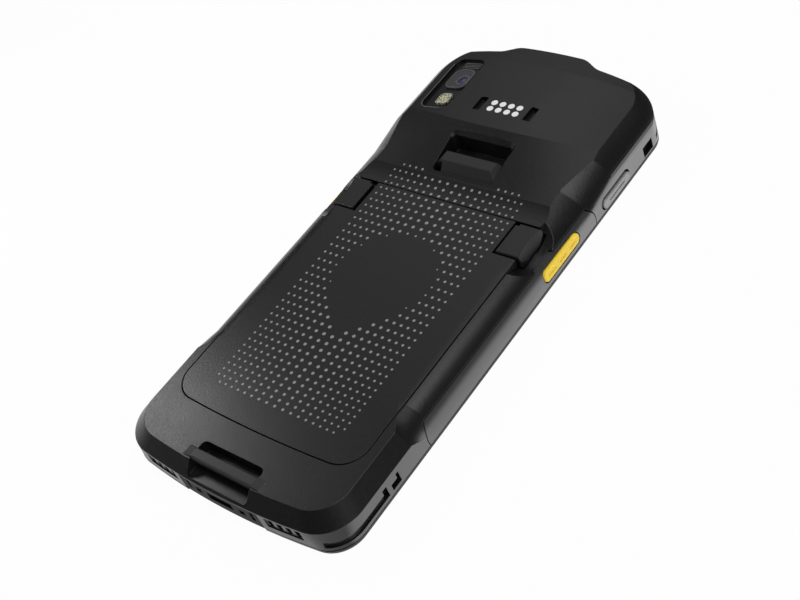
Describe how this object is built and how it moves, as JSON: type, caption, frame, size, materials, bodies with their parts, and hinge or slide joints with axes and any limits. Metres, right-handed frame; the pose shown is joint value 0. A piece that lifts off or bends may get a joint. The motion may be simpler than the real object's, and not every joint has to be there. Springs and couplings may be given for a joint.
{
  "type": "portable barcode data terminal",
  "caption": "Slab-shaped handheld scanning terminal lying face down, with a raised scanning end, removable battery pack, strap bars, side scan keys and a rear camera.",
  "frame": {"origin": "centre of the bounding box, on the front face that the part lies on", "axes": "+Y toward the scanning end, +Z out of the back, +X toward the side with the talk key"},
  "size_m": [0.0786, 0.1646, 0.0167],
  "materials": {
    "housing_plastic": "fine spark texture",
    "frame_plastic": "satin",
    "grip_rubber": "soft touch",
    "strap_bar_plastic": "satin",
    "panel_plastic": "smooth",
    "pack_plastic": "fine spark texture",
    "seal": "matt",
    "chassis_metal": "cast",
    "steel": "satin",
    "spring_steel": "bright",
    "cover_glass": "gloss",
    "lens_glass": "gloss",
    "flash_clear": "clear",
    "scan_filter": "gloss",
    "screen": "gloss",
    "board": "solder mask",
    "module_black": "moulded",
    "contact_metal": "plated",
    "gold": "plated",
    "mesh": "woven",
    "cell_wrap": "foil",
    "key_yellow": "satin",
    "key_silver": "satin",
    "key_black": "satin"
  },
  "bodies": {
    "casing": {"rear_housing": "housing_plastic", "front_bezel": "frame_plastic", "shell_seal": "seal", "mid_chassis": "chassis_metal", "case_screws": "steel", "right_grip": "grip_rubber", "left_grip": "grip_rubber", "upper_strap_bar": "strap_bar_plastic", "lower_strap_bar": "strap_bar_plastic", "connector_panel": "panel_plastic", "speaker_mesh_right": "mesh", "speaker_mesh_left": "mesh", "scan_window": "scan_filter", "camera_window": "lens_glass", "flash_window": "flash_clear", "rear_contact_pads": "contact_metal", "rear_contact_block": "module_black", "display_glass": "cover_glass", "display_panel": "screen", "earpiece": "mesh", "front_camera": "module_black", "main_board": "board", "processor_shield": "steel", "radio_shield": "steel", "card_socket": "steel", "scan_engine": "module_black", "rear_camera": "module_black", "flash_led": "flash_clear", "battery_terminal": "module_black", "terminal_pins": "gold", "loudspeaker": "module_black", "vibration_motor": "steel", "microphone": "steel", "low_antenna": "module_black", "high_antenna": "module_black", "usb_socket": "steel", "dock_contacts": "gold", "switches_right": "module_black", "switches_left": "module_black", "power_switch": "module_black"},
    "battery": {"battery_tray": "pack_plastic", "battery_cover": "pack_plastic", "battery_cell": "cell_wrap", "pack_board": "board", "pack_contacts": "gold", "latch_spring_right": "spring_steel", "latch_spring_left": "spring_steel"},
    "latch_right": {"latch_right": "pack_plastic"},
    "latch_left": {"latch_left": "pack_plastic"},
    "scan_key_right": {"scan_key_right": "key_yellow"},
    "scan_key_left": {"scan_key_left": "key_yellow"},
    "talk_key": {"talk_key": "key_silver"},
    "volume_rocker": {"volume_rocker": "key_black"},
    "power_key": {"power_key": "key_black"}
  },
  "joints": [
    {"name": "battery_tilt", "type": "hinge", "parent": "casing", "child": "battery", "pos_m": [0, -0.064, 0.011], "axis": [1, 0, 0], "range_deg": [0, 40]},
    {"name": "latch_right_squeeze", "type": "slide", "parent": "battery", "child": "latch_right", "axis": [-1, 0, 0], "range_m": [0, 0.0007], "stiffness_N_per_m": 1500, "springref_m": -0.001, "deforming": ["latch_spring_right"]},
    {"name": "latch_left_squeeze", "type": "slide", "parent": "battery", "child": "latch_left", "axis": [1, 0, 0], "range_m": [0, 0.0007], "stiffness_N_per_m": 1500, "springref_m": -0.001, "deforming": ["latch_spring_left"]},
    {"name": "scan_key_right_press", "type": "slide", "parent": "casing", "child": "scan_key_right", "axis": [-1, 0, 0], "range_m": [0, 0.0004], "stiffness_N_per_m": 2500, "springref_m": -0.0008},
    {"name": "scan_key_left_press", "type": "slide", "parent": "casing", "child": "scan_key_left", "axis": [1, 0, 0], "range_m": [0, 0.0004], "stiffness_N_per_m": 2500, "springref_m": -0.0008},
    {"name": "talk_key_press", "type": "slide", "parent": "casing", "child": "talk_key", "axis": [-1, 0, 0], "range_m": [0, 0.0004], "stiffness_N_per_m": 2500, "springref_m": -0.0008},
    {"name": "power_key_press", "type": "slide", "parent": "casing", "child": "power_key", "axis": [0, -1, 0], "range_m": [0, 0.0004], "stiffness_N_per_m": 2500, "springref_m": -0.0008},
    {"name": "volume_rock", "type": "hinge", "parent": "casing", "child": "volume_rocker", "pos_m": [-0.0378, 0.0482, 0.0031], "axis": [0, 0, 1], "range_deg": [-1.5, 1.5], "stiffness_Nm_per_rad": 0.46}
  ]
}
